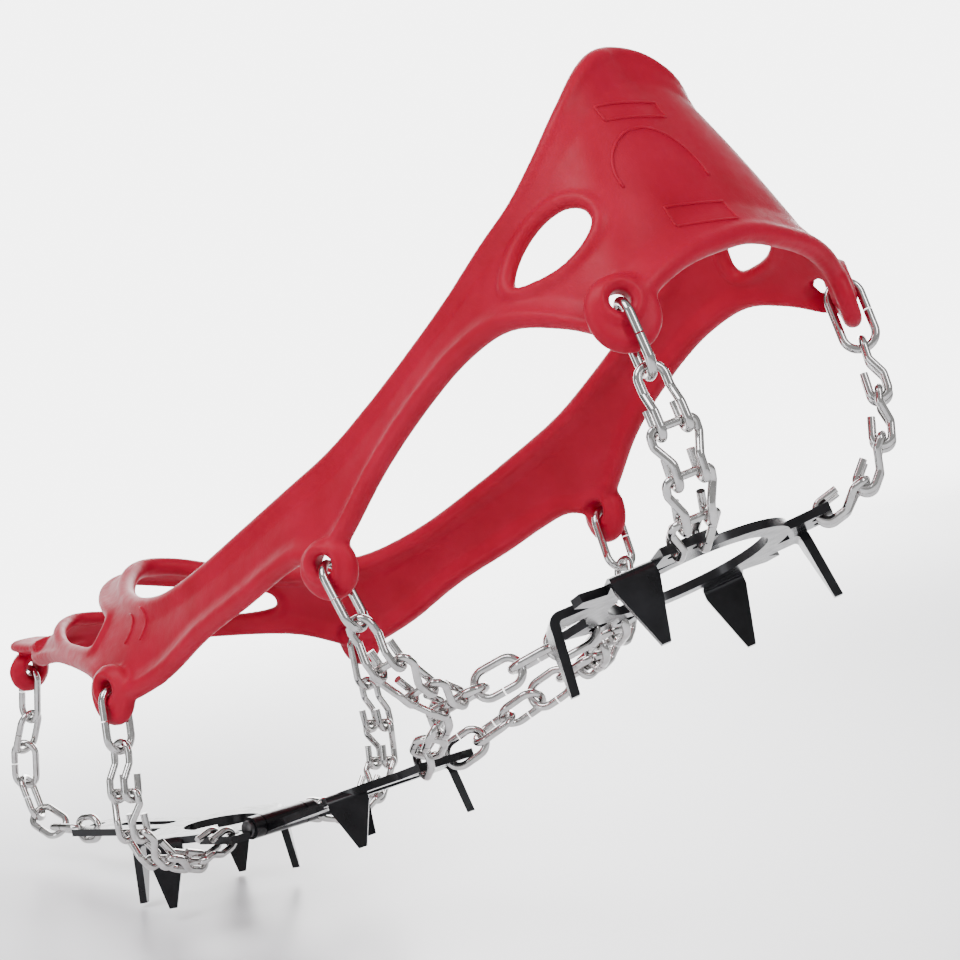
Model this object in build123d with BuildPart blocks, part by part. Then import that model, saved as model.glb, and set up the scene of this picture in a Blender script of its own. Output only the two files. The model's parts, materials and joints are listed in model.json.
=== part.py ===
"""Chain ice cleats for a boot: an elastomer harness, six ladder chains, four coil chains,
a toe chain, a heel plate and a hinged two-piece front plate with eleven spikes.

Frame: +Y points from heel to toe, +X to the wearer's right, +Z up. The origin is the middle of
the heel plate's upper face, where the boot's heel stands. The cleats are modelled as worn.
"""
from build123d import *
import math
import os

os.makedirs("parts", exist_ok=True)

# ---------------------------------------------------------------- driving dimensions, mm
WIRE = 2.0              # ladder chain wire
COIL_WIRE = 2.2         # oval and coil link wire
PLAY = 0.3              # gap between two linked wires
TOE_PLAY = 0.5          # the toe chain is not as taut
BUTT_GAP = 0.35         # open butt joint of a bent link

OVAL_PITCH = 17.5       # eyelet to ladder chain
OVAL_HALF_WIDTH = 4.1
U_PITCH = 11.2
LADDER_PITCH = 11.5
RUNG_HALF = 5.5         # half the width at the rung
HOOK_HALF = 3.2         # half the spacing of a link's two hooks
RUNG_HOOK = 2.3         # hook radius round a ladder rung
JUNCTION_HOOK = 2.45    # hook radius round the thicker junction link
EAR_HOOK = 2.7          # hook radius round the rim of a plate's ear
HOOK_TAIL = 4.6
COIL_HALF_WIDTH = 3.7
TOE_COIL_PITCH = 11.6
JUNCTION_HALF_LENGTH = 8.4
JUNCTION_HALF_WIDTH = 3.9

PLATE = 2.2             # steel sheet
EAR_HOLE = 1.9
EAR_RIM = 0.8           # half the width of the rim that a hook goes round
CHAIN_HOLE = 2.5
BEND = 3.2              # outer bend radius of a spike
SPIKE_ROOT = 2.6        # from a spike's root point to its outer face

WALL = 3.4              # harness wall
LOBE_RADIUS = 9.5
LOBE_THICKNESS = 4.6
EYELET_RADIUS = 2.6
LINK_SLOT = 4.4         # room in the wall for the oval link's legs

HINGE_PIN = 1.5
KNUCKLE = 3.25
BALL_KNUCKLE_HALF = 8.0
TOE_KNUCKLE = (8.4, 12.0)

BALL_SLOPE = 7.0        # degrees, the ball plate follows the sole
TOE_SLOPE = 20.0        # degrees, the toe plate follows the toe spring

# ---------------------------------------------------------------- planes and main points
UP = Vector(0, 0, 1)
ACROSS = Vector(1, 0, 0)


def sloped_up(degrees):
    """The upward normal of a plate whose toe end is raised."""
    angle = math.radians(degrees)
    return Vector(0, -math.sin(angle), math.cos(angle))


HINGE = Vector(0, 168, 0)
TOE_UP = sloped_up(TOE_SLOPE)
heel_plane = Plane.XY
ball_plane = Plane(origin=(0, 100, -8.5), x_dir=ACROSS, z_dir=sloped_up(BALL_SLOPE))
toe_plane = Plane(origin=HINGE - TOE_UP * 0.4, x_dir=ACROSS, z_dir=TOE_UP)

HEEL_RING = (0, -3)                 # centre of the heel plate's round opening
HEEL_CHAIN_HOLE = (5.5, 25.0)
BALL_CHAIN_HOLE = (5.5, 1.2)
TOE_CHAIN_HOLE = (0, 87.8)
TOE_EAR = (19.5, 5.3)               # middle of the toe plate's ear rim
HEEL_EAR = (28.0, -28.5)            # middle of the heel plate's ear rim
REAR_OUT = (0.565, -0.825)          # the rear chain falls in a plane across the heel's corner
MID_OUT = (0.976, -0.218)
JUNCTION_LEG = (28.0, 59.5, -3.0)   # middle of the junction link's outer leg

TOE_EYELET = Vector(0, 254.5, 86)
TOE_FALL = Vector(0, 0.571, -0.821)
TOE_CHAIN_ANGLES = (-52, -32, 0, 45, 68)   # of each toe link, inward from straight down
TOE_CHAIN_ROLLS = (-95, -30, -120, -45, -112, -180)


def export(piece, label):
    """Label a finished piece and write its STEP file."""
    piece.part.label = label
    export_step(piece.part, f"parts/{label}.step")


# ---------------------------------------------------------------- bent-wire links
def sweep_wire(path, radius):
    """Sweep a round wire along the path of the active part."""
    route = path.wires()[0]
    with BuildSketch(Plane(origin=route @ 0, z_dir=route % 0)) as section:
        Circle(radius)
    sweep(sections=section.sketch, path=route)


def oval_link(label, start, end, face_normal, half_width):
    """A bent-wire oval link whose wire centres at its two ends are start and end."""
    straight = (end - start).length / 2 - half_width
    plane = Plane(origin=(start + end) * 0.5, x_dir=end - start, z_dir=face_normal)
    with BuildPart() as link:
        with BuildLine(plane) as path:
            Line((BUTT_GAP / 2, half_width), (straight, half_width))
            ThreePointArc((straight, half_width), (straight + half_width, 0),
                          (straight, -half_width))
            Line((straight, -half_width), (-straight, -half_width))
            ThreePointArc((-straight, -half_width), (-straight - half_width, 0),
                          (-straight, half_width))
            Line((-straight, half_width), (-BUTT_GAP / 2, half_width))
        sweep_wire(path, COIL_WIRE / 2)
    export(link, label)


def hooked_link(label, plane, pitch, hook, round_top):
    """A ladder chain link with its rung, or its round top, at the plane's origin. X is along
    the rung, Y outward and Z up; its two hooks go round the next rung, one pitch below."""
    foot = -pitch - hook
    half = [
        (HOOK_HALF, -hook, -pitch + HOOK_TAIL),
        (HOOK_HALF, -hook, foot),
        (HOOK_HALF, hook, foot),
        (HOOK_HALF, hook, -pitch + 3.4),
    ]
    radii = [0.97 * hook, 0.97 * hook, 2.0]
    if round_top:
        half += [(HOOK_HALF, 0, -3.4), (HOOK_HALF, 0, (COIL_WIRE + WIRE) / 2 + PLAY)]
        radii += [2.0, 0.97 * HOOK_HALF]
    else:
        half += [(RUNG_HALF, 0, -3.6), (RUNG_HALF, 0, 0)]
        radii += [1.8, 1.6]
    points = half + [(-x, y, z) for x, y, z in reversed(half)]
    route = [plane.from_local_coords(Vector(*point)) for point in points]
    with BuildPart() as link:
        with BuildLine() as path:
            FilletPolyline(*route, radius=radii + radii[::-1])
        sweep_wire(path, WIRE / 2)
    export(link, label)


# ---------------------------------------------------------------- chains
def hanging_points(foot, outward, up, steps):
    """Contact points of a chain from its upper end down to foot. Each step is a pitch and the
    angle, inward from straight down, at which that link hangs."""
    moves = []
    for pitch, angle in steps:
        turn = math.radians(angle)
        moves.append(up * (-pitch * math.cos(turn)) - outward * (pitch * math.sin(turn)))
    points = [foot - sum(moves, Vector(0, 0, 0))]
    for move in moves:
        points.append(points[-1] + move)
    return points


def ladder_chain(name, foot, outward, up, angles, last_hook):
    """Hang an oval link, a U-link and the ladder links above foot, and return the point of
    the harness eyelet, the outward axis of its hole and the direction of the oval link."""
    pitches = [OVAL_PITCH, U_PITCH] + [LADDER_PITCH] * (len(angles) - 2)
    points = hanging_points(foot, outward, up, list(zip(pitches, angles)))
    across = outward.cross(up)
    oval_link(f"{name}_oval_link", points[0], points[1], across, OVAL_HALF_WIDTH)
    for index, pitch in enumerate(pitches[1:]):
        top = points[index + 1]
        rise = (top - points[index + 2]).normalized()
        plane = Plane(origin=top, x_dir=across, z_dir=rise)
        is_last = index == len(pitches) - 2
        label = f"{name}_u_link" if index == 0 else f"{name}_ladder_link_{index}"
        hooked_link(label, plane, pitch, last_hook if is_last else RUNG_HOOK, index == 0)
    fall = (points[1] - points[0]).normalized()
    return points[0], fall.cross(across), fall


def coil_chain(name, points, normals, play):
    """Coil links one after another; each point is the middle of the play between two links."""
    half_play = (COIL_WIRE + play) / 2
    for index, (start, end) in enumerate(zip(points, points[1:])):
        along = (end - start).normalized()
        label = f"{name}_coil_link_{index + 1}"
        oval_link(label, start - along * half_play, end + along * half_play, normals[index],
                  COIL_HALF_WIDTH)


def straight_coil_chain(name, start, end, count, turn):
    """A taut coil chain from the wire centre start, which its first link goes round, to the
    plate hole end, where its last link stands on edge. Each link turns by turn degrees."""
    along = (end - start).normalized()
    first = start - along * ((COIL_WIRE + PLAY) / 2)
    points = [first + (end - start) * (i / count) for i in range(count + 1)]
    axis = Axis((0, 0, 0), tuple(along))
    edge_on = along.cross(UP).normalized()
    normals = [edge_on.rotate(axis, turn * (count - 1 - i)) for i in range(count)]
    coil_chain(name, points, normals, PLAY)


eyelets = []                        # point, hole axis and downward direction of each lobe
for side_name, side in {"left": -1, "right": 1}.items():
    rear_out = Vector(REAR_OUT[0] * side, REAR_OUT[1], 0)
    rear_foot = Vector(HEEL_EAR[0] * side, HEEL_EAR[1], -PLATE / 2)
    eyelets.append(ladder_chain(f"{side_name}_rear", rear_foot, rear_out, UP,
                                (5, 8, 22, 45, 78), EAR_HOOK))
    mid_out = Vector(MID_OUT[0] * side, MID_OUT[1], 0)
    leg = Vector(JUNCTION_LEG[0] * side, *JUNCTION_LEG[1:])
    eyelets.append(ladder_chain(f"{side_name}_mid", leg, mid_out, UP, (8, 22, 48, 68),
                                JUNCTION_HOOK))
    front_foot = toe_plane.from_local_coords(Vector(TOE_EAR[0] * side, TOE_EAR[1], -PLATE / 2))
    eyelets.append(ladder_chain(f"{side_name}_front", front_foot, ACROSS * side, TOE_UP,
                                (-2, -6, 4, 38, 72, 108), EAR_HOOK))

    fore = Vector(-mid_out.Y * side, mid_out.X * side, 0)
    centre = leg - mid_out * JUNCTION_HALF_WIDTH
    bow = fore * (JUNCTION_HALF_LENGTH - JUNCTION_HALF_WIDTH)
    reach = fore * JUNCTION_HALF_LENGTH
    oval_link(f"{side_name}_junction_link", centre - reach, centre + reach, UP,
              JUNCTION_HALF_WIDTH)
    heel_hole = Vector(HEEL_CHAIN_HOLE[0] * side, HEEL_CHAIN_HOLE[1], -PLATE / 2)
    ball_hole = ball_plane.from_local_coords(
        Vector(BALL_CHAIN_HOLE[0] * side, BALL_CHAIN_HOLE[1], -PLATE / 2))
    for place, bow_centre, hole, count, turn in (
            ("heel", centre - bow, heel_hole, 3, 90), ("ball", centre + bow, ball_hole, 4, 62)):
        start = bow_centre + (hole - bow_centre).normalized() * JUNCTION_HALF_WIDTH
        straight_coil_chain(f"{side_name}_{place}", start, hole, count, turn * side)

toe_oval_end = TOE_EYELET + TOE_FALL * OVAL_PITCH
oval_link("toe_oval_link", TOE_EYELET, toe_oval_end, ACROSS, OVAL_HALF_WIDTH)
eyelets.append((TOE_EYELET, Vector(0, -TOE_FALL.Z, TOE_FALL.Y), TOE_FALL))
toe_half_play = (COIL_WIRE + TOE_PLAY) / 2
toe_moves = []
for angle in TOE_CHAIN_ANGLES:
    turn = math.radians(angle)
    toe_moves.append(Vector(0, -math.sin(turn), -math.cos(turn)))
toe_points = [toe_oval_end - toe_moves[0] * toe_half_play]
for move in toe_moves:
    toe_points.append(toe_points[-1] + move * TOE_COIL_PITCH)
toe_hole = toe_plane.from_local_coords(Vector(*TOE_CHAIN_HOLE, -PLATE / 2))
toe_points.append(toe_hole - (toe_hole - toe_points[-1]).normalized() * toe_half_play)
toe_normals = []
for start, end, roll in zip(toe_points, toe_points[1:], TOE_CHAIN_ROLLS):
    toe_normals.append(ACROSS.rotate(Axis((0, 0, 0), tuple(end - start)), roll))
coil_chain("toe", toe_points, toe_normals, TOE_PLAY)


# ---------------------------------------------------------------- plates and spikes
def spike(plane, root, heading, length, base, tip, lean):
    """A flat spike bent down from the plate at root, facing heading degrees in the plate."""
    angle = math.radians(heading)
    facing = plane.x_dir * math.cos(angle) + plane.y_dir * math.sin(angle)
    origin = plane.from_local_coords(Vector(*root, 0))
    profile = Plane(origin=origin, x_dir=facing, z_dir=facing.cross(plane.z_dir))
    face = Plane(origin=origin, x_dir=plane.z_dir.cross(facing), z_dir=facing)
    low = -PLATE - length
    inner = SPIKE_ROOT - PLATE
    with BuildPart() as blade:
        with BuildSketch(profile):
            with BuildLine():
                FilletPolyline((-7, 0), (SPIKE_ROOT, 0), (SPIKE_ROOT + lean, low), radius=BEND)
                Line((SPIKE_ROOT + lean, low), (inner + lean, low))
                FilletPolyline((inner + lean, low), (inner, -PLATE), (-7, -PLATE),
                               radius=BEND - PLATE)
                Line((-7, -PLATE), (-7, 0))
            make_face()
        extrude(amount=base / 2, both=True)
        with BuildSketch(face):
            with BuildLine():
                Polyline((-base / 2, 1), (-base / 2, -PLATE - 2), (-tip / 2, low),
                         (tip / 2, low), (base / 2, -PLATE - 2), (base / 2, 1), close=True)
            make_face()
        extrude(amount=20, both=True, mode=Mode.INTERSECT)
    return blade.part


def spike_pair(plane, root, heading, *sizes):
    """The same spike on both sides of the plate; sizes are length, base, tip and lean."""
    mirrored = spike(plane, (-root[0], root[1]), 180 - heading, *sizes)
    return [spike(plane, root, heading, *sizes), mirrored]


def spike_arms(root, heading, width, length):
    """Sketch the strips of plate that carry a pair of spikes."""
    for x, angle in ((root[0], heading), (-root[0], 180 - heading)):
        with Locations(Location((x, root[1], 0), (0, 0, angle))):
            Rectangle(length, width, align=(Align.MAX, Align.CENTER))


REAR_SPIKES = ((32.5, -13.5), -49.5)
FRONT_SPIKES = ((32.5, 12.5), 40.0)
HEEL_SPIKE = (17.0, 11.0, 2.2, 1.8)
heel_spikes = spike_pair(heel_plane, *REAR_SPIKES, *HEEL_SPIKE)
heel_spikes += spike_pair(heel_plane, *FRONT_SPIKES, *HEEL_SPIKE)
ear_turn = math.degrees(math.atan2(REAR_OUT[1], REAR_OUT[0]))
with BuildPart() as heel_plate:
    with BuildSketch(heel_plane.offset(-PLATE)):
        with Locations(HEEL_RING):
            Circle(26.8)
        for root, heading in (REAR_SPIKES, FRONT_SPIKES):
            spike_arms(root, heading, HEEL_SPIKE[1], 14)
        for side in (1, -1):
            turn = ear_turn if side > 0 else 180 - ear_turn
            with Locations(Location((HEEL_EAR[0] * side, HEEL_EAR[1], 0), (0, 0, turn))):
                with Locations((EAR_RIM, 0)):
                    Rectangle(12, 14, align=(Align.MAX, Align.CENTER))
        with Locations((0, HEEL_CHAIN_HOLE[1])):
            Rectangle(26, 9)
        for side in (1, -1):
            with BuildLine():
                Polyline((25 * side, 5), (38 * side, 1.5), (39 * side, -2.5), (25 * side, -6),
                         close=True)
            make_face()
        with Locations(HEEL_RING):
            Circle(21.0, mode=Mode.SUBTRACT)
        with Locations((HEEL_CHAIN_HOLE[0], HEEL_CHAIN_HOLE[1] - 0.4),
                       (-HEEL_CHAIN_HOLE[0], HEEL_CHAIN_HOLE[1] - 0.4)):
            Circle(CHAIN_HOLE, mode=Mode.SUBTRACT)
        for side in (1, -1):
            turn = ear_turn if side > 0 else 180 - ear_turn
            with Locations(Location((HEEL_EAR[0] * side, HEEL_EAR[1], 0), (0, 0, turn))):
                with Locations((-EAR_HOOK, HOOK_HALF), (-EAR_HOOK, -HOOK_HALF)):
                    Circle(EAR_HOLE, mode=Mode.SUBTRACT)
    extrude(amount=PLATE)
    add(heel_spikes)
export(heel_plate, "heel_plate")

BALL_SIDE_SPIKES = ((19.1, 17.1), -45.0)
hinge_in_ball = ball_plane.to_local_coords(HINGE)
ball_spikes = spike_pair(ball_plane, *BALL_SIDE_SPIKES, 13.6, 11.0, 2.2, 1.5)
ball_spikes.append(spike(ball_plane, (0, 36.9), -90, 10.8, 6.5, 2.6, 1.0))
with BuildPart() as ball_plate:
    with BuildSketch(ball_plane.offset(-PLATE)):
        with Locations((0, 20)):
            Ellipse(21, 17)
        with Locations((0, 3)):
            Rectangle(21, 13.5)
        spike_arms(*BALL_SIDE_SPIKES, 11.0, 12)
        with BuildLine():
            Polyline((-7.5, 32), (7.5, 32), (6, 46), (BALL_KNUCKLE_HALF, 58),
                     (BALL_KNUCKLE_HALF, hinge_in_ball.Y), (-BALL_KNUCKLE_HALF, hinge_in_ball.Y),
                     (-BALL_KNUCKLE_HALF, 58), (-6, 46), close=True)
        make_face()
        with Locations((0, 20.5)):
            Ellipse(12.5, 10.5, mode=Mode.SUBTRACT)
        with Locations((BALL_CHAIN_HOLE[0], BALL_CHAIN_HOLE[1] + 0.4),
                       (-BALL_CHAIN_HOLE[0], BALL_CHAIN_HOLE[1] + 0.4)):
            Circle(CHAIN_HOLE, mode=Mode.SUBTRACT)
    extrude(amount=PLATE)
    add(ball_spikes)
    with BuildSketch(Plane(origin=HINGE, x_dir=(0, 1, 0), z_dir=ACROSS)):
        Circle(KNUCKLE)
    extrude(amount=BALL_KNUCKLE_HALF, both=True)
    with BuildSketch(Plane(origin=HINGE, x_dir=(0, 1, 0), z_dir=ACROSS)):
        Circle(HINGE_PIN)
    extrude(amount=BALL_KNUCKLE_HALF + 1, both=True, mode=Mode.SUBTRACT)
export(ball_plate, "front_plate_ball_section")

TOE_REAR_SPIKES = ((21.7, 27.5), -45.0)
TOE_FRONT_SPIKES = ((17.2, 42.1), 53.0)
TOE_SPIKE = (17.5, 10.5, 2.2, 2.0)
toe_spikes = spike_pair(toe_plane, *TOE_REAR_SPIKES, *TOE_SPIKE)
toe_spikes += spike_pair(toe_plane, *TOE_FRONT_SPIKES, *TOE_SPIKE)
ear_edge = TOE_EAR[0] + EAR_RIM
with BuildPart() as toe_plate:
    with BuildSketch(toe_plane.offset(-PLATE)):
        with Locations((0, 28)):
            Ellipse(20, 20)
        with Locations((0, 9)):
            Rectangle(2 * ear_edge, 8.6)
        for side in (1, -1):
            with Locations(((13.9 + ear_edge) / 2 * side, 5.3)):
                Rectangle(ear_edge - 13.9, 14.2)
            with Locations((sum(TOE_KNUCKLE) / 2 * side, 3)):
                Rectangle(TOE_KNUCKLE[1] - TOE_KNUCKLE[0], 6)
        spike_arms(*TOE_REAR_SPIKES, TOE_SPIKE[1], 12)
        spike_arms(*TOE_FRONT_SPIKES, TOE_SPIKE[1], 12)
        with Locations((0, 68)):
            Rectangle(15, 48)
        with Locations((0, 27)):
            Ellipse(11, 12, mode=Mode.SUBTRACT)
        with Locations((0, 63)):
            SlotOverall(26, 5, rotation=90, mode=Mode.SUBTRACT)
        with Locations((TOE_CHAIN_HOLE[0], TOE_CHAIN_HOLE[1] + 0.4)):
            Circle(CHAIN_HOLE, mode=Mode.SUBTRACT)
        for side in (1, -1):
            with Locations(((TOE_EAR[0] - EAR_HOOK) * side, TOE_EAR[1])):
                with Locations((0, HOOK_HALF), (0, -HOOK_HALF)):
                    Circle(EAR_HOLE, mode=Mode.SUBTRACT)
    extrude(amount=PLATE)
    add(toe_spikes)
    for side in (1, -1):
        knuckle = Plane(origin=HINGE + ACROSS * (TOE_KNUCKLE[0] * side), x_dir=(0, 1, 0),
                        z_dir=ACROSS * side)
        with BuildSketch(knuckle):
            Circle(KNUCKLE)
        extrude(amount=TOE_KNUCKLE[1] - TOE_KNUCKLE[0])
        with BuildSketch(knuckle):
            Circle(HINGE_PIN + 0.08)
        extrude(amount=TOE_KNUCKLE[1] - TOE_KNUCKLE[0], mode=Mode.SUBTRACT)
export(toe_plate, "front_plate_toe_section")

with BuildPart() as hinge_pin:
    with BuildSketch(Plane(origin=HINGE, x_dir=(0, 1, 0), z_dir=ACROSS)):
        Circle(HINGE_PIN)
    extrude(amount=TOE_KNUCKLE[1] + 0.2, both=True)
    for side in (1, -1):
        head = Plane(origin=HINGE + ACROSS * ((TOE_KNUCKLE[1] + 0.15) * side), x_dir=(0, 1, 0),
                     z_dir=ACROSS * side)
        with BuildSketch(head):
            Circle(2.4)
        extrude(amount=1.1)
export(hinge_pin, "front_plate_hinge_pin")


# ---------------------------------------------------------------- elastomer harness
# Upper and lower edge of the left wall, from the middle of the heel to the middle of the toe.
UPPER_EDGE = [
    (0, -51, 114), (-12, -52, 112), (-22, -51.5, 107), (-29, -48, 100), (-33, -41, 92.5),
    (-35.5, -31, 86), (-37, -20, 81.5), (-38, -5, 75.5), (-39, 12, 70.5), (-40, 28, 66.5),
    (-41, 46, 63), (-41, 66, 62), (-40, 88, 63), (-38, 107, 65), (-33, 129, 68.5),
    (-25, 150, 74), (-13, 176, 80), (-6, 184, 83), (-2.5, 187, 83.8), (0, 188, 84),
]
LOWER_EDGE = [
    (0, -62, 60), (-13, -61, 58.5), (-26, -59.5, 55.5), (-37, -56, 50), (-43.5, -49.5, 40),
    (-45, -36, 50), (-46, -22, 57.5), (-46.5, -6, 58), (-47.5, 12, 54), (-49, 30, 47.5),
    (-52.5, 53, 36), (-51.5, 66, 41), (-50, 90, 41), (-48.5, 112, 41), (-47, 137, 39),
    (-47, 158, 42), (-38, 176, 56), (-20, 213, 73.5), (-10.5, 236, 81),
    (0, 238, 85.5),
]


def wall_sections():
    """Cross-sections of the left wall, each a flat strip from the lower to the upper edge."""
    sections = []
    last = len(UPPER_EDGE) - 1
    for index, (upper, lower) in enumerate(zip(UPPER_EDGE, LOWER_EDGE)):
        top = Vector(*upper)
        bottom = Vector(*lower)
        before = max(index - 1, 0)
        after = min(index + 1, last)
        along = Vector(*LOWER_EDGE[after]) - Vector(*LOWER_EDGE[before])
        if index in (0, last):
            along = ACROSS * -1
        outward = (top - bottom).cross(along).normalized() * (WALL / 2)
        sections.append(Face(Wire.make_polygon(
            [bottom - outward, top - outward, top + outward, bottom + outward])))
    return sections


def strap_section(y, z, width, lean):
    """Cross-section of the strap that joins the toe end of the harness to its lobe."""
    angle = math.radians(lean)
    rise = Vector(0, -math.sin(angle), math.cos(angle)) * (WALL / 2)
    half = ACROSS * (width / 2)
    centre = Vector(0, y, z)
    return Face(Wire.make_polygon([centre - half - rise, centre + half - rise,
                                   centre + half + rise, centre - half + rise]))


half_wall = loft(sections=wall_sections(), ruled=True)
toe_strap = loft(sections=[strap_section(228, 83.6, 25, 0), strap_section(240, 87.5, 18, 24),
                           strap_section(251, 92.6, 14, 24)], ruled=True)
with BuildPart() as harness:
    add(half_wall)
    mirror(about=Plane.YZ)
    add(toe_strap)
    for point, axis, fall in eyelets:
        lobe = Plane(origin=point - axis * (LOBE_THICKNESS / 2), x_dir=fall, z_dir=axis)
        for face, room in ((lobe, -9), (lobe.offset(LOBE_THICKNESS), 9)):
            with BuildSketch(face):
                with Locations((-EYELET_RADIUS, 0)):
                    Rectangle(20, LINK_SLOT, align=(Align.MIN, Align.CENTER))
            extrude(amount=room, mode=Mode.SUBTRACT)
        with BuildSketch(lobe):
            Circle(LOBE_RADIUS)
        extrude(amount=LOBE_THICKNESS)
        with BuildSketch(lobe):
            Circle(EYELET_RADIUS)
        extrude(amount=LOBE_THICKNESS, mode=Mode.SUBTRACT)
    with BuildSketch(Plane.YZ):
        with Locations((-36, 71)):
            Ellipse(10.5, 12)
    extrude(amount=70, both=True, mode=Mode.SUBTRACT)
    with BuildSketch(Plane.XY.offset(50)):
        with Locations((0, 217)):
            Ellipse(8, 13)
    extrude(amount=50, mode=Mode.SUBTRACT)
export(harness, "harness")
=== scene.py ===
import json
import math

import bmesh
import bpy
from mathutils import Matrix, Vector
from mathutils.bvhtree import BVHTree

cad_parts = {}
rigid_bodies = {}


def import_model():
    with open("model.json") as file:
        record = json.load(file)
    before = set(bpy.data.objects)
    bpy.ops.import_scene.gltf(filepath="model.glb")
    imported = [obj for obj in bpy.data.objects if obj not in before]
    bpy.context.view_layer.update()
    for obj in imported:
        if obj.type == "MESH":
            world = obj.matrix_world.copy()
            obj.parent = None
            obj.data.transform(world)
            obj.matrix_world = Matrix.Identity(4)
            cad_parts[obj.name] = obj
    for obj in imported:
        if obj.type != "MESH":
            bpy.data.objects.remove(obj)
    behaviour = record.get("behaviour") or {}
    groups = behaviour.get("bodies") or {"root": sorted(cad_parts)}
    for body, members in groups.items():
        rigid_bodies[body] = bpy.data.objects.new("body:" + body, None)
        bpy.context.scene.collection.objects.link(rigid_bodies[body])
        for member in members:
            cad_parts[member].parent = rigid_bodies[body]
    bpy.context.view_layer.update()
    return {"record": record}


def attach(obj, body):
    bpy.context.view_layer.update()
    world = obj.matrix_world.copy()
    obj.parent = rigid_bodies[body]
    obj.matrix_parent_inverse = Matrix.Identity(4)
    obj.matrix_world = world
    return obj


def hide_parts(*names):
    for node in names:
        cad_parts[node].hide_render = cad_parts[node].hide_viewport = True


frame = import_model()

MM = 0.001
ROOT = "harness_and_plates"

# ---------------------------------------------------------------- harness dimensions, mm
WALL_HALF = 1.15
BEAD = 2.8
PROUD = 0.9         # how far the edge beads stand out from the wall's middle
BULGE = 1.3         # how far the wall swells between its edges
TOE_BULGE = 3.6     # the same over the toes
TOE_START, TOE_BLEND = 150, 45
VOXEL = 0.7
RELAX_FACTOR, RELAX_STEPS = 0.5, 5

# Each kind of lobe: its radius, and how much lower than that it reaches below its eyelet.
LOBES = {"rear": (8.4, 3.4), "mid": (8.2, 1.2), "front": (8.4, 2.2), "toe": (7.4, 0.4)}
LOBE_HALF = 2.35
LOBE_FLAT = 1.8     # how much the lobe's upper side is cut back
EYELET_RADIUS = 2.5
EYELET_RING = (4.3, 1.0)

# The slot below each eyelet that its oval link hangs in.
SLOT_HALF = 4.5
SLOT_TOP = 2.8
SLOT_LENGTH = 30
SLOT_HALF_DEPTH = 14

# The heel cup narrows by this share towards its top, and leans this far to the left.
HEEL_NARROWING = 0.15
HEEL_LEAN = 5.5
LEAN_FROM_Z, LEAN_OVER_Z = 50, 50
LEAN_FROM_Y, LEAN_OVER_Y = -15, 30

# The bead round each hole, and how far outside the cut its middle lies.
HOLE_BEAD = 2.1
HOLE_BEAD_OUT = 0.6
TOE_CUT_OUT = 0.5
TOE_CUT_FLARE = 38  # the toe cut's sides lean outward by x over this
TOE_CUT_BELOW, TOE_CUT_ABOVE = 8, 16

# Sections of the toe strap: y, z, half its width, and its lean in degrees.
STRAP = [
    (229.5, 85.6, 13.0, 8), (235, 86.5, 11.4, 14), (241, 88.4, 9.8, 22), (247, 91.0, 8.2, 30),
    (251.5, 93.2, 6.5, 34),
]
STRAP_HALF = 2.1

# Raised lines on the heel's back, as seen from behind, and the ribs behind the toe hole.
ARC_CENTRE, ARC_RADIUS, ARC_TURN = (-16, 75.5), 13.5, (-5, 185)
ARC_LINE = 0.4
BOX_CENTRE, BOX_HALF = -13.5, 10
BOX_HEIGHTS = [(92.2, 96.6), (61.5, 67.0)]
BOX_LINE = 0.35
RIB_PLACES = [(154, 59.5), (146, 56.5)]
RIB_OUT, RIB_RADIUS, RIB_LINE = 37, 4.5, 0.42

# Upper and lower edge of the left wall, from the middle of the heel to the middle of the toe.
UPPER_EDGE = [
    (0, -51, 114), (-11, -51.5, 112), (-20, -50.5, 107), (-26.5, -46.5, 100), (-31, -39.5, 92.5),
    (-34.5, -30.5, 86), (-36.5, -20, 81.5), (-38, -5, 75.5), (-39, 12, 70.5), (-40, 28, 66.5),
    (-41, 46, 63), (-41.5, 66, 61.5), (-41.5, 88, 60.5), (-40.5, 109, 60), (-37.5, 129, 61.5),
    (-33, 144, 65.5), (-26, 157.5, 71.5), (-17, 169, 78.5), (-8, 175.5, 84.5), (0, 178, 86.5),
]
LOWER_EDGE = [
    (0, -60.5, 55.5), (-13, -60, 54), (-25.5, -58.5, 51.5), (-36, -55, 47), (-43.5, -49.5, 40),
    (-45, -36, 50), (-46, -22, 57.5), (-46.5, -6, 58), (-47.5, 12, 54), (-49, 30, 47.5),
    (-52.5, 53, 36), (-51.5, 66, 41), (-50, 90, 41), (-48.5, 112, 41), (-47, 137, 39),
    (-47, 158, 42), (-38, 176, 56), (-20, 213, 73.5), (-10.5, 236, 81), (0, 238, 85.5),
]
# Rim of the egg-shaped side hole as (y, z), and the left half of the swept toe hole as (x, y).
SIDE_HOLE = [
    (-43, 77.8), (-35.5, 77.5), (-28.8, 74), (-25, 68.5), (-26.3, 65), (-31.5, 63.3),
    (-39.5, 62.6), (-46, 64.6), (-49.6, 69), (-48.3, 74.5),
]
TOE_HOLE = [
    (0, 221), (-10, 217), (-18.5, 208), (-27.5, 191), (-33.5, 177), (-34.5, 170),
    (-31, 167.5), (-25, 175), (-18, 183.5), (-9.5, 190.5), (0, 193),
]


# ---------------------------------------------------------------- mesh helpers
def new_piece(name, verts, faces, smooth=True):
    """A mesh object with its normals outward; vertices are given in metres."""
    mesh = bpy.data.meshes.new(name)
    mesh.from_pydata([tuple(v) for v in verts], [], faces)
    mesh.update()
    bm = bmesh.new()
    bm.from_mesh(mesh)
    bmesh.ops.recalc_face_normals(bm, faces=bm.faces)
    bm.to_mesh(mesh)
    bm.free()
    if smooth:
        mesh.polygons.foreach_set("use_smooth", [True] * len(mesh.polygons))
    obj = bpy.data.objects.new(name, mesh)
    bpy.context.scene.collection.objects.link(obj)
    return obj


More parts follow.
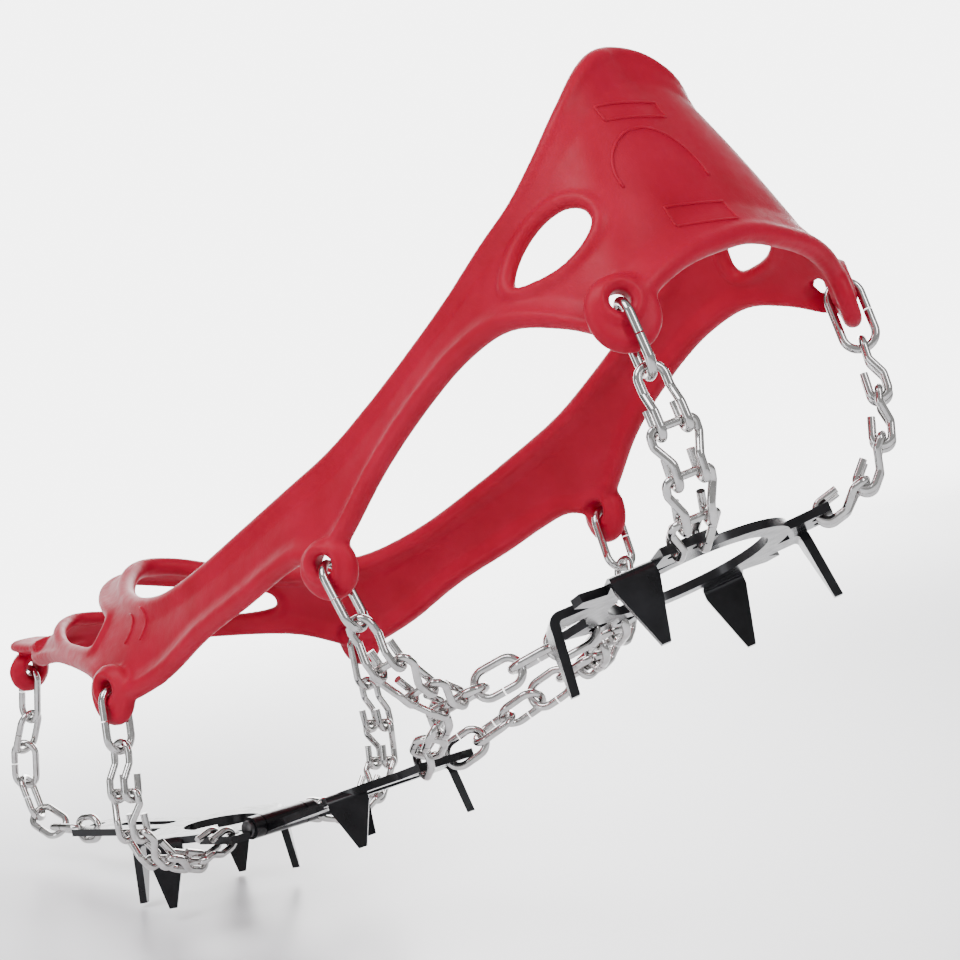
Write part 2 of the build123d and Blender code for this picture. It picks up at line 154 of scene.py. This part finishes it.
def loft(rings, closed_path=False):
    """Vertices and quads through rings of equal length; open paths get end caps."""
    count = len(rings[0])
    verts = [point for ring in rings for point in ring]
    faces = []
    spans = len(rings) if closed_path else len(rings) - 1
    for i in range(spans):
        a = i * count
        b = ((i + 1) % len(rings)) * count
        for j in range(count):
            k = (j + 1) % count
            faces.append((a + j, b + j, b + k, a + k))
    if not closed_path:
        faces.append(tuple(range(count)))
        last = (len(rings) - 1) * count
        faces.append(tuple(reversed(range(last, last + count))))
    return verts, faces


def tube(points, radius, sides=12, closed=False):
    """Rings round a path of points, with frames carried along it."""
    rings = []
    normal = None
    count = len(points)
    for i, point in enumerate(points):
        ahead = points[(i + 1) % count] if closed else points[min(i + 1, count - 1)]
        behind = points[i - 1] if closed else points[max(i - 1, 0)]
        along = (ahead - behind).normalized()
        if normal is None:
            normal = along.orthogonal().normalized()
        normal = (normal - along * normal.dot(along)).normalized()
        side = along.cross(normal)
        rings.append([point + (normal * math.cos(2 * math.pi * k / sides)
                               + side * math.sin(2 * math.pi * k / sides)) * radius
                      for k in range(sides)])
    return loft(rings, closed)


def spun(profile, centre, axis, segments=48):
    """A closed profile of (radius, height) spun about an axis through centre."""
    across = axis.orthogonal().normalized()
    other = axis.cross(across)
    rings = []
    for i in range(segments):
        turn = 2 * math.pi * i / segments
        out = across * math.cos(turn) + other * math.sin(turn)
        rings.append([(centre + out * r + axis * h) for r, h in profile])
    return loft(rings, True)


def scaled(shape):
    """A shape given in mm, in metres."""
    verts, faces = shape
    return [v * MM for v in verts], faces


def smooth_loop(points, steps):
    """A closed Catmull-Rom curve through points, with steps samples per span."""
    out = []
    count = len(points)
    for i in range(count):
        a, b, c, d = (points[(i + k - 1) % count] for k in range(4))
        for s in range(steps):
            t = s / steps
            out.append(0.5 * ((2 * b) + (c - a) * t + (2 * a - 5 * b + 4 * c - d) * t * t
                              + (3 * b - a - 3 * c + d) * t ** 3))
    return out


# ---------------------------------------------------------------- harness
def closed_edge(left):
    """The whole edge loop: heel middle, left side, toe middle and right side."""
    points = [Vector(p) for p in left]
    right = [Vector((-p.x, p.y, p.z)) for p in reversed(points[1:-1])]
    return points + right


def lobe_frames():
    """Point, hole axis and fall of each lobe, from the hinges of the chains that hang there."""
    joints = frame["record"]["behaviour"]["joints"]
    found = []
    for joint in joints:
        link = joint["child"]
        if not link.endswith("_oval_link"):
            continue
        top = Vector(joint["pos_m"]) / MM
        below = next(Vector(other["pos_m"]) / MM for other in joints if other["parent"] == link)
        fall = (below - top).normalized()
        found.append((top, fall.cross(Vector(joint["axis"])).normalized(), fall, link))
    return found


def ease(value):
    """A smooth step from 0 to 1."""
    share = min(max(value, 0), 1)
    return share * share * (3 - 2 * share)


def leaned(points):
    """The heel cup narrows towards its top and leans a little to the left."""
    out = []
    for p in points:
        share = (ease((p.z - LEAN_FROM_Z) / LEAN_OVER_Z)
                 * ease((LEAN_FROM_Y - p.y) / LEAN_OVER_Y))
        x = p.x * (1 - HEEL_NARROWING * share) - HEEL_LEAN * share
        out.append(Vector((x, p.y, p.z)))
    return out


upper_loop = smooth_loop(leaned(closed_edge(UPPER_EDGE)), 6)
lower_loop = smooth_loop(leaned(closed_edge(LOWER_EDGE)), 6)


def swell(point, share):
    """How far the wall stands out at a share of its height; more over the toes."""
    toe = min(max((point.y - TOE_START) / TOE_BLEND, 0), 1)
    return (BULGE + (TOE_BULGE - BULGE) * toe) * math.sin(math.pi * share)


def wall_section(index, low, high):
    """One closed cross-section of the wall, with a round bead on each edge."""
    count = len(upper_loop)
    along = (lower_loop[(index + 1) % count] + upper_loop[(index + 1) % count]
             - lower_loop[index - 1] - upper_loop[index - 1]).normalized()
    rise = high - low
    length = rise.length
    rise = rise.normalized()
    out = rise.cross(along).normalized()
    ring = []
    for k in range(9):
        turn = math.radians(45 + 270 * k / 8)
        ring.append(low + rise * BEAD * (1 + math.cos(turn))
                    + out * (PROUD + BEAD * math.sin(turn)))
    for k in range(1, 9):
        along_wall = 2 * BEAD + (length - 4 * BEAD) * k / 9
        stand = swell(low, along_wall / length)
        ring.append(low + rise * along_wall + out * (stand - WALL_HALF))
    for k in range(9):
        turn = math.radians(225 + 270 * k / 8)
        ring.append(high - rise * BEAD * (1 - math.cos(turn))
                    + out * (PROUD + BEAD * math.sin(turn)))
    for k in range(8, 0, -1):
        along_wall = 2 * BEAD + (length - 4 * BEAD) * k / 9
        stand = swell(low, along_wall / length)
        ring.append(low + rise * along_wall + out * (stand + WALL_HALF))
    return ring


def wall_surface():
    """The middle surface of the wall as a tree for casting rays, in mm."""
    steps = 12
    rings = []
    for i, (low, high) in enumerate(zip(lower_loop, upper_loop)):
        ahead = lower_loop[(i + 1) % len(lower_loop)]
        out = (high - low).cross(ahead - lower_loop[i - 1]).normalized()
        rings.append([low.lerp(high, k / steps) + out * swell(low, k / steps)
                      for k in range(steps + 1)])
    verts = [p for ring in rings for p in ring]
    faces = []
    count = len(rings)
    for i in range(count):
        for k in range(steps):
            a = i * (steps + 1) + k
            b = ((i + 1) % count) * (steps + 1) + k
            faces.append((a, b, b + 1, a + 1))
    return BVHTree.FromPolygons(verts, faces)


def boolean(target, cutter):
    """Cut cutter out of target and remove it."""
    change = target.modifiers.new("cut", "BOOLEAN")
    change.operation = "DIFFERENCE"
    change.solver = "EXACT"
    change.object = cutter
    apply(target)
    bpy.data.objects.remove(cutter, do_unlink=True)


def apply(obj):
    """Replace an object's mesh by what its modifiers make of it."""
    bpy.context.view_layer.update()
    graph = bpy.context.evaluated_depsgraph_get()
    mesh = bpy.data.meshes.new_from_object(obj.evaluated_get(graph))
    obj.modifiers.clear()
    obj.data = mesh


def joined(shapes):
    """Several (verts, faces) shapes as one."""
    verts, faces = [], []
    for more_verts, more_faces in shapes:
        base = len(verts)
        verts += more_verts
        faces += [tuple(base + i for i in face) for face in more_faces]
    return verts, faces


def lobe(point, axis, fall, radius, drop):
    """A thick lobe round an eyelet, longer below the hole, with a rounded rim."""
    across = fall.cross(axis)
    rings = []
    for i in range(56):
        turn = 2 * math.pi * i / 56
        out = fall * math.cos(turn) + across * math.sin(turn)
        below = max(math.cos(turn), 0) ** 1.5
        above = max(-math.cos(turn), 0)
        reach = radius + drop * below - LOBE_FLAT * above - LOBE_HALF
        ring = [point + out * EYELET_RADIUS - axis * LOBE_HALF]
        for k in range(9):
            lift = math.radians(-90 + 180 * k / 8)
            ring.append(point + out * (reach + LOBE_HALF * math.cos(lift))
                        + axis * LOBE_HALF * math.sin(lift))
        ring.append(point + out * EYELET_RADIUS + axis * LOBE_HALF)
        rings.append(ring)
    return loft(rings, True)


def ring_profile(major, minor, height):
    """A small circle of (radius, height) points, which spins into a raised ring."""
    return [(major + minor * math.cos(2 * math.pi * k / 10),
             height + minor * math.sin(2 * math.pi * k / 10)) for k in range(10)]


def grown(points, grow):
    """A flat loop of (u, v) points moved outward by grow, as a list of pairs."""
    count = len(points)
    area = sum(points[i - 1].x * points[i].y - points[i].x * points[i - 1].y
               for i in range(count))
    out = []
    for i, point in enumerate(points):
        along = (points[(i + 1) % count] - points[i - 1]).normalized()
        away = Vector((along.y, -along.x, 0)) * math.copysign(grow, area)
        out.append((point.x + away.x, point.y + away.y))
    return out


def side_rim(surface, side, grow):
    """Points of the side hole's rim, laid on the wall."""
    outline = smooth_loop([Vector((y, z, 0)) for y, z in SIDE_HOLE], 5)
    points = []
    for y, z in grown(outline, grow):
        hit = surface.ray_cast(Vector((90 * side, y, z)), Vector((-side, 0, 0)))[0]
        points.append(hit)
    return points


def toe_rim(surface, grow):
    """Points of the toe hole's rim, laid on the wall."""
    half = [(x, y, 0) for x, y in TOE_HOLE]
    outline = smooth_loop(closed_edge(half), 5)
    return [surface.ray_cast(Vector((x, y, 140)), Vector((0, 0, -1)))[0]
            for x, y in grown(outline, grow)]


def prism(points, direction):
    """A closed prism from a loop of points along direction."""
    return loft([points, [p + direction for p in points]])


def toe_strap():
    """The strap from the toe end of the wall over to the toe lobe."""
    rings = []
    for y, z, half, lean in STRAP:
        angle = math.radians(lean)
        rise = Vector((0, -math.sin(angle), math.cos(angle)))
        ring = []
        for k in range(24):
            turn = 2 * math.pi * k / 24
            wide = math.copysign(abs(math.cos(turn)) ** 0.6, math.cos(turn)) * half
            tall = math.copysign(abs(math.sin(turn)) ** 0.8, math.sin(turn)) * STRAP_HALF
            ring.append(Vector((wide, y, z)) + rise * tall)
        rings.append(ring)
    return loft(rings)


def link_room(point, axis, fall):
    """The space that an oval link needs below its eyelet: a slot with a round top."""
    across = fall.cross(axis)
    foot = point + fall * SLOT_LENGTH
    outline = [foot + across * SLOT_HALF, foot - across * SLOT_HALF]
    for k in range(13):
        turn = math.pi * k / 12
        outline.append(point - across * SLOT_HALF * math.cos(turn)
                       - fall * SLOT_TOP * math.sin(turn))
    return prism([p - axis * SLOT_HALF_DEPTH for p in outline], axis * 2 * SLOT_HALF_DEPTH)


def make_harness():
    """The harness: wall, cut holes, lobes, beads and strap, remeshed into one skin."""
    surface = wall_surface()
    lobes = lobe_frames()
    rings = [wall_section(i, low, high)
             for i, (low, high) in enumerate(zip(lower_loop, upper_loop))]
    wall = new_piece("harness_wall", *scaled(loft(rings, True)))
    rim = [Vector((-90, p.y, p.z)) for p in side_rim(surface, -1, 0)]
    boolean(wall, new_piece("side_cut", *scaled(prism(rim, Vector((180, 0, 0))))))
    toe = toe_rim(surface, TOE_CUT_OUT)
    flare = [Vector((p.x / TOE_CUT_FLARE, 0, 1)) for p in toe]
    under = [p - d * TOE_CUT_BELOW for p, d in zip(toe, flare)]
    over = [p + d * TOE_CUT_ABOVE for p, d in zip(toe, flare)]
    boolean(wall, new_piece("toe_cut", *scaled(loft([under, over]))))
    for point, axis, fall, _ in lobes:
        boolean(wall, new_piece("link_room", *scaled(link_room(point, axis, fall))))

    extra = []
    for point, axis, fall, link in lobes:
        kind = next(kind for kind in LOBES if kind in link)
        extra.append(lobe(point, axis, fall, *LOBES[kind]))
        for height in (-LOBE_HALF, LOBE_HALF):
            extra.append(spun(ring_profile(*EYELET_RING, height), point, axis))
    for side in (1, -1):
        extra.append(tube(side_rim(surface, side, HOLE_BEAD_OUT), HOLE_BEAD, closed=True))
    extra.append(tube(toe_rim(surface, HOLE_BEAD_OUT), HOLE_BEAD, closed=True))
    strap = new_piece("harness_strap", *scaled(toe_strap()))
    point, axis, fall, _ = next(found for found in lobes if found[3] == "toe_oval_link")
    boolean(strap, new_piece("link_room", *scaled(link_room(point, axis, fall))))

    shapes = [scaled(joined(extra))]
    for obj in (wall, strap):
        shapes.append(([v.co.copy() for v in obj.data.vertices],
                       [tuple(p.vertices) for p in obj.data.polygons]))
        bpy.data.objects.remove(obj, do_unlink=True)
    harness = new_piece("harness_soft", *joined(shapes))
    remesh = harness.modifiers.new("skin", "REMESH")
    remesh.mode = "VOXEL"
    remesh.voxel_size = VOXEL * MM
    relax = harness.modifiers.new("relax", "SMOOTH")
    relax.factor = RELAX_FACTOR
    relax.iterations = RELAX_STEPS
    apply(harness)
    harness.data.polygons.foreach_set("use_smooth", [True] * len(harness.data.polygons))
    return harness


def laid_on(tree, starts, direction):
    """Where rays from the starts meet a mesh, in metres."""
    hits = [tree.ray_cast(start * MM, direction)[0] for start in starts]
    return [hit for hit in hits if hit is not None]


def arc(centre, radius, first, last, steps=36):
    """Points of an arc behind the heel."""
    turns = [math.radians(first + (last - first) * k / steps) for k in range(steps + 1)]
    return [Vector((centre[0] + radius * math.cos(t), -120, centre[1] + radius * math.sin(t)))
            for t in turns]


def frame_line(centre_x, half_width, low, high, steps=14):
    """Points of a plain rectangle behind the heel, closed."""
    left, right = centre_x - half_width, centre_x + half_width
    corners = [(left, low), (right, low), (right, high), (left, high)]
    points = []
    for (x0, z0), (x1, z1) in zip(corners, corners[1:] + corners[:1]):
        points += [Vector((x0 + (x1 - x0) * k / steps, -120, z0 + (z1 - z0) * k / steps))
                   for k in range(steps)]
    return points


def make_raised_lines(harness):
    """The raised lines on the heel's back and the two short ribs behind the toe hole."""
    tree = BVHTree.FromPolygons([v.co for v in harness.data.vertices],
                                [tuple(p.vertices) for p in harness.data.polygons])
    forward = Vector((0, 1, 0))
    bow = laid_on(tree, arc(ARC_CENTRE, ARC_RADIUS, *ARC_TURN), forward)
    shapes = [tube(bow, ARC_LINE * MM, 8)]
    for low, high in BOX_HEIGHTS:
        box = laid_on(tree, frame_line(BOX_CENTRE, BOX_HALF, low, high), forward)
        shapes.append(tube(box, BOX_LINE * MM, 8, True))
    for side in (-1, 1):
        inward = Vector((-0.78 * side, 0, -0.62))
        for y, z in RIB_PLACES:
            starts = []
            for k in range(13):
                turn = math.radians(-65 + 130 * k / 12)
                target = Vector((side * (RIB_OUT + 3 * math.sin(turn)),
                                 y - RIB_RADIUS * math.cos(turn),
                                 z - RIB_RADIUS * math.sin(turn)))
                starts.append(target - inward * 40)
            shapes.append(tube(laid_on(tree, starts, inward), RIB_LINE * MM, 8))
    return new_piece("harness_raised_lines", *joined(shapes))


# ---------------------------------------------------------------- materials
def shader(name, **values):
    """A material, its nodes and links, and its Principled node with the values set."""
    material = bpy.data.materials.new(name)
    material.use_nodes = True
    nodes = material.node_tree.nodes
    principled = nodes["Principled BSDF"]
    for key, value in values.items():
        principled.inputs[key.replace("_", " ")].default_value = value
    return material, nodes, material.node_tree.links, principled


def noise(nodes, links, scale, detail=4.0, roughness=0.5):
    """A noise texture in object space; scale is in features per metre."""
    place = nodes.new("ShaderNodeTexCoord")
    texture = nodes.new("ShaderNodeTexNoise")
    texture.inputs["Scale"].default_value = scale
    texture.inputs["Detail"].default_value = detail
    texture.inputs["Roughness"].default_value = roughness
    links.new(place.outputs["Object"], texture.inputs["Vector"])
    return texture.outputs["Fac"]


def ramp(nodes, links, value, low, high, start=0.3, end=0.7):
    """Blend two colours over the value."""
    mix = nodes.new("ShaderNodeValToRGB")
    mix.color_ramp.elements[0].position = start
    mix.color_ramp.elements[0].color = low
    mix.color_ramp.elements[1].position = end
    mix.color_ramp.elements[1].color = high
    links.new(value, mix.inputs["Fac"])
    return mix.outputs["Color"]


def grey(value):
    return (value, value, value, 1)


def add_bump(nodes, links, principled, height, strength, distance):
    bump = nodes.new("ShaderNodeBump")
    bump.inputs["Strength"].default_value = strength
    bump.inputs["Distance"].default_value = distance
    links.new(height, bump.inputs["Height"])
    links.new(bump.outputs["Normal"], principled.inputs["Normal"])


def elastomer():
    material, nodes, links, principled = shader(
        "red_elastomer", Subsurface_Weight=0.15, Subsurface_Scale=0.002, IOR=1.33,
        Specular_IOR_Level=0.3)
    principled.inputs["Subsurface Radius"].default_value = (1.0, 0.08, 0.06)
    colour = ramp(nodes, links, noise(nodes, links, 60),
                  (0.38, 0.004, 0.022, 1), (0.46, 0.007, 0.034, 1))
    links.new(colour, principled.inputs["Base Color"])
    dull = ramp(nodes, links, noise(nodes, links, 300), grey(0.40), grey(0.52))
    links.new(dull, principled.inputs["Roughness"])
    add_bump(nodes, links, principled, noise(nodes, links, 1800, 6.0), 0.18, 0.00025)
    return material


def stainless():
    material, nodes, links, principled = shader("polished_stainless", Metallic=1.0)
    colour = ramp(nodes, links, noise(nodes, links, 400),
                  (0.52, 0.51, 0.50, 1), (0.68, 0.67, 0.66, 1))
    links.new(colour, principled.inputs["Base Color"])
    dull = ramp(nodes, links, noise(nodes, links, 900, 6.0), grey(0.07), grey(0.16))
    links.new(dull, principled.inputs["Roughness"])
    add_bump(nodes, links, principled, noise(nodes, links, 1500, 5.0), 0.04, 0.0001)
    return material


def black_coat():
    material, nodes, links, principled = shader(
        "glossy_black_coat", Coat_Weight=0.12, Coat_Roughness=0.1, IOR=1.4,
        Specular_IOR_Level=0.3)
    colour = ramp(nodes, links, noise(nodes, links, 120),
                  (0.006, 0.006, 0.007, 1), (0.014, 0.014, 0.016, 1))
    links.new(colour, principled.inputs["Base Color"])
    dull = ramp(nodes, links, noise(nodes, links, 350, 5.0), grey(0.17), grey(0.27))
    links.new(dull, principled.inputs["Roughness"])
    add_bump(nodes, links, principled, noise(nodes, links, 600, 2.0), 0.02, 0.0002)
    return material


def pin_steel():
    material, nodes, links, principled = shader("dark_pin_steel", Metallic=1.0)
    colour = ramp(nodes, links, noise(nodes, links, 500),
                  (0.12, 0.12, 0.125, 1), (0.2, 0.2, 0.21, 1))
    links.new(colour, principled.inputs["Base Color"])
    dull = ramp(nodes, links, noise(nodes, links, 800, 5.0), grey(0.28), grey(0.45))
    links.new(dull, principled.inputs["Roughness"])
    add_bump(nodes, links, principled, noise(nodes, links, 1200, 5.0), 0.15, 0.0002)
    return material


def dress(harness, lines):
    """Give every CAD node its finish, and the harness pieces theirs and their body."""
    finishes = {"harness_elastomer": elastomer(), "chain_steel": stainless(),
                "plate_black": black_coat(), "pin_steel": pin_steel()}
    for part in frame["record"]["subparts"]:
        obj = bpy.data.objects[part["node"]]
        obj.data.materials.clear()
        obj.data.materials.append(finishes[part["material_slot"]])
    for piece in (harness, lines):
        piece.data.materials.append(finishes["harness_elastomer"])
        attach(piece, ROOT)
    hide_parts("harness")


# ---------------------------------------------------------------- stage, light and camera, m
FLOOR_POINT = (0, 0.218, -0.0045)   # below the toe spikes' tips
FLOOR_SLOPE = math.radians(28)
FLOOR_HALF_WIDTH, FLOOR_BEHIND, FLOOR_AHEAD = 1.6, -1.6, 0.5
FADE_FROM, FADE_TO = 0.22, 0.62     # along y, where the floor goes clear
FLOOR_COLOUR, FLOOR_ROUGHNESS = (0.9, 0.9, 0.92, 1), 0.35

CAMERA_PLACE = (-0.4135, -0.3175, -0.0826)
CAMERA_LENS, CAMERA_SENSOR = 82.0, 36
CAMERA_HEADING = math.radians(48.8)   # from +Y towards +X
CAMERA_RISE = math.radians(13.37)
CAMERA_ROLL = math.radians(-24.42)
LOOKING = Vector((math.sin(CAMERA_HEADING) * math.cos(CAMERA_RISE),
                  math.cos(CAMERA_HEADING) * math.cos(CAMERA_RISE), math.sin(CAMERA_RISE)))

# The studio's grey along the line of sight: dim behind the camera, darker beside it, pale ahead.
WORLD_ENDS = [(0.1, 0.085), (0.93, 1.0)]
WORLD_BETWEEN = [(0.28, 0.010), (0.62, 0.015)]
WORLD_STRENGTH = 5.6

# Name, place, target, size, power and colour of each lamp.
LAMPS = [
    ("key", (-0.55, -0.15, 0.75), (0, 0.08, 0.05), (0.5, 0.5), 6.5, (0.95, 0.96, 1.0)),
    ("front_left", (-0.75, 0.15, 0.05), (0, 0.08, 0.0), (0.16, 0.6), 1.4, (0.93, 0.95, 1.0)),
    ("front_right", (-0.1, -0.85, 0.2), (0, 0.08, 0.0), (0.16, 0.6), 3.6, (0.97, 0.97, 1.0)),
    ("rim", (0.7, 0.4, 0.5), (0, 0.08, 0.05), (0.5, 0.5), 7, (1, 1, 1)),
    ("below", (-0.35, -0.25, -0.75), (0, 0.08, 0.0), (0.35, 0.7), 2.0, (0.92, 0.93, 1.0)),
]


def make_floor():
    """A pale floor through the toe spikes' tips, the heel lifted off it; it fades out ahead."""
    centre = Vector(FLOOR_POINT)
    along = Vector((0, math.cos(FLOOR_SLOPE), math.sin(FLOOR_SLOPE)))
    across = Vector((1, 0, 0))
    corners = [centre + across * x + along * y
               for x, y in ((-FLOOR_HALF_WIDTH, FLOOR_BEHIND), (FLOOR_HALF_WIDTH, FLOOR_BEHIND),
                            (FLOOR_HALF_WIDTH, FLOOR_AHEAD), (-FLOOR_HALF_WIDTH, FLOOR_AHEAD))]
    floor = new_piece("floor", corners, [(0, 1, 2, 3)], smooth=False)
    if floor.data.polygons[0].normal.z < 0:
        floor.data.flip_normals()
    material = bpy.data.materials.new("pale_floor")
    material.use_nodes = True
    nodes, links = material.node_tree.nodes, material.node_tree.links
    principled = nodes["Principled BSDF"]
    principled.inputs["Base Color"].default_value = FLOOR_COLOUR
    principled.inputs["Roughness"].default_value = FLOOR_ROUGHNESS
    clear = nodes.new("ShaderNodeBsdfTransparent")
    mix = nodes.new("ShaderNodeMixShader")
    where = nodes.new("ShaderNodeNewGeometry")
    place = nodes.new("ShaderNodeTexCoord")
    split = nodes.new("ShaderNodeSeparateXYZ")
    fade = nodes.new("ShaderNodeMapRange")
    fade.interpolation_type = "SMOOTHSTEP"
    fade.inputs["From Min"].default_value = FADE_FROM
    fade.inputs["From Max"].default_value = FADE_TO
    either = nodes.new("ShaderNodeMath")
    either.operation = "MAXIMUM"
    links.new(place.outputs["Object"], split.inputs["Vector"])
    links.new(split.outputs["Y"], fade.inputs["Value"])
    links.new(where.outputs["Backfacing"], either.inputs[0])
    links.new(fade.outputs["Result"], either.inputs[1])
    links.new(either.outputs["Value"], mix.inputs["Fac"])
    links.new(principled.outputs["BSDF"], mix.inputs[1])
    links.new(clear.outputs["BSDF"], mix.inputs[2])
    links.new(mix.outputs["Shader"], nodes["Material Output"].inputs["Surface"])
    floor.data.materials.append(material)


def area_light(name, place, target, size, power, colour):
    """A soft rectangular lamp at place, aimed at target."""
    light = bpy.data.lights.new(name, "AREA")
    light.shape = "RECTANGLE"
    light.size, light.size_y = size
    light.energy = power
    light.color = colour
    obj = bpy.data.objects.new(name, light)
    obj.location = place
    obj.rotation_euler = (Vector(target) - Vector(place)).to_track_quat("-Z", "Y").to_euler()
    bpy.context.scene.collection.objects.link(obj)


def make_world():
    """A grey studio whose brightness depends only on the direction in the scene."""
    world = bpy.data.worlds.new("studio")
    bpy.context.scene.world = world
    world.use_nodes = True
    nodes, links = world.node_tree.nodes, world.node_tree.links
    background = nodes["Background"]
    place = nodes.new("ShaderNodeTexCoord")
    aim = nodes.new("ShaderNodeVectorMath")
    aim.operation = "DOT_PRODUCT"
    aim.inputs[1].default_value = LOOKING
    links.new(place.outputs["Generated"], aim.inputs[0])
    shade = nodes.new("ShaderNodeValToRGB")
    stops = shade.color_ramp.elements
    for stop, (position, value) in zip(stops, WORLD_ENDS):
        stop.position, stop.color = position, grey(value)
    for position, value in WORLD_BETWEEN:
        stops.new(position).color = grey(value)
    links.new(aim.outputs["Value"], shade.inputs["Fac"])
    links.new(shade.outputs["Color"], background.inputs["Color"])
    background.inputs["Strength"].default_value = WORLD_STRENGTH


def make_camera():
    """The camera, low behind the heel's left, looking forward and up and rolled over."""
    camera = bpy.data.cameras.new("camera")
    camera.sensor_width = CAMERA_SENSOR
    camera.lens = CAMERA_LENS
    camera.clip_start = 0.01
    obj = bpy.data.objects.new("camera", camera)
    level = Vector((math.cos(CAMERA_HEADING), -math.sin(CAMERA_HEADING), 0))
    upright = level.cross(LOOKING)
    right = level * math.cos(CAMERA_ROLL) + upright * math.sin(CAMERA_ROLL)
    up = upright * math.cos(CAMERA_ROLL) - level * math.sin(CAMERA_ROLL)
    turn = Matrix((right, up, -LOOKING)).transposed().to_4x4()
    obj.matrix_world = Matrix.Translation(Vector(CAMERA_PLACE)) @ turn
    bpy.context.scene.collection.objects.link(obj)
    bpy.context.scene.camera = obj


harness_skin = make_harness()
dress(harness_skin, make_raised_lines(harness_skin))
make_floor()
make_world()
for lamp in LAMPS:
    area_light(*lamp)
make_camera()
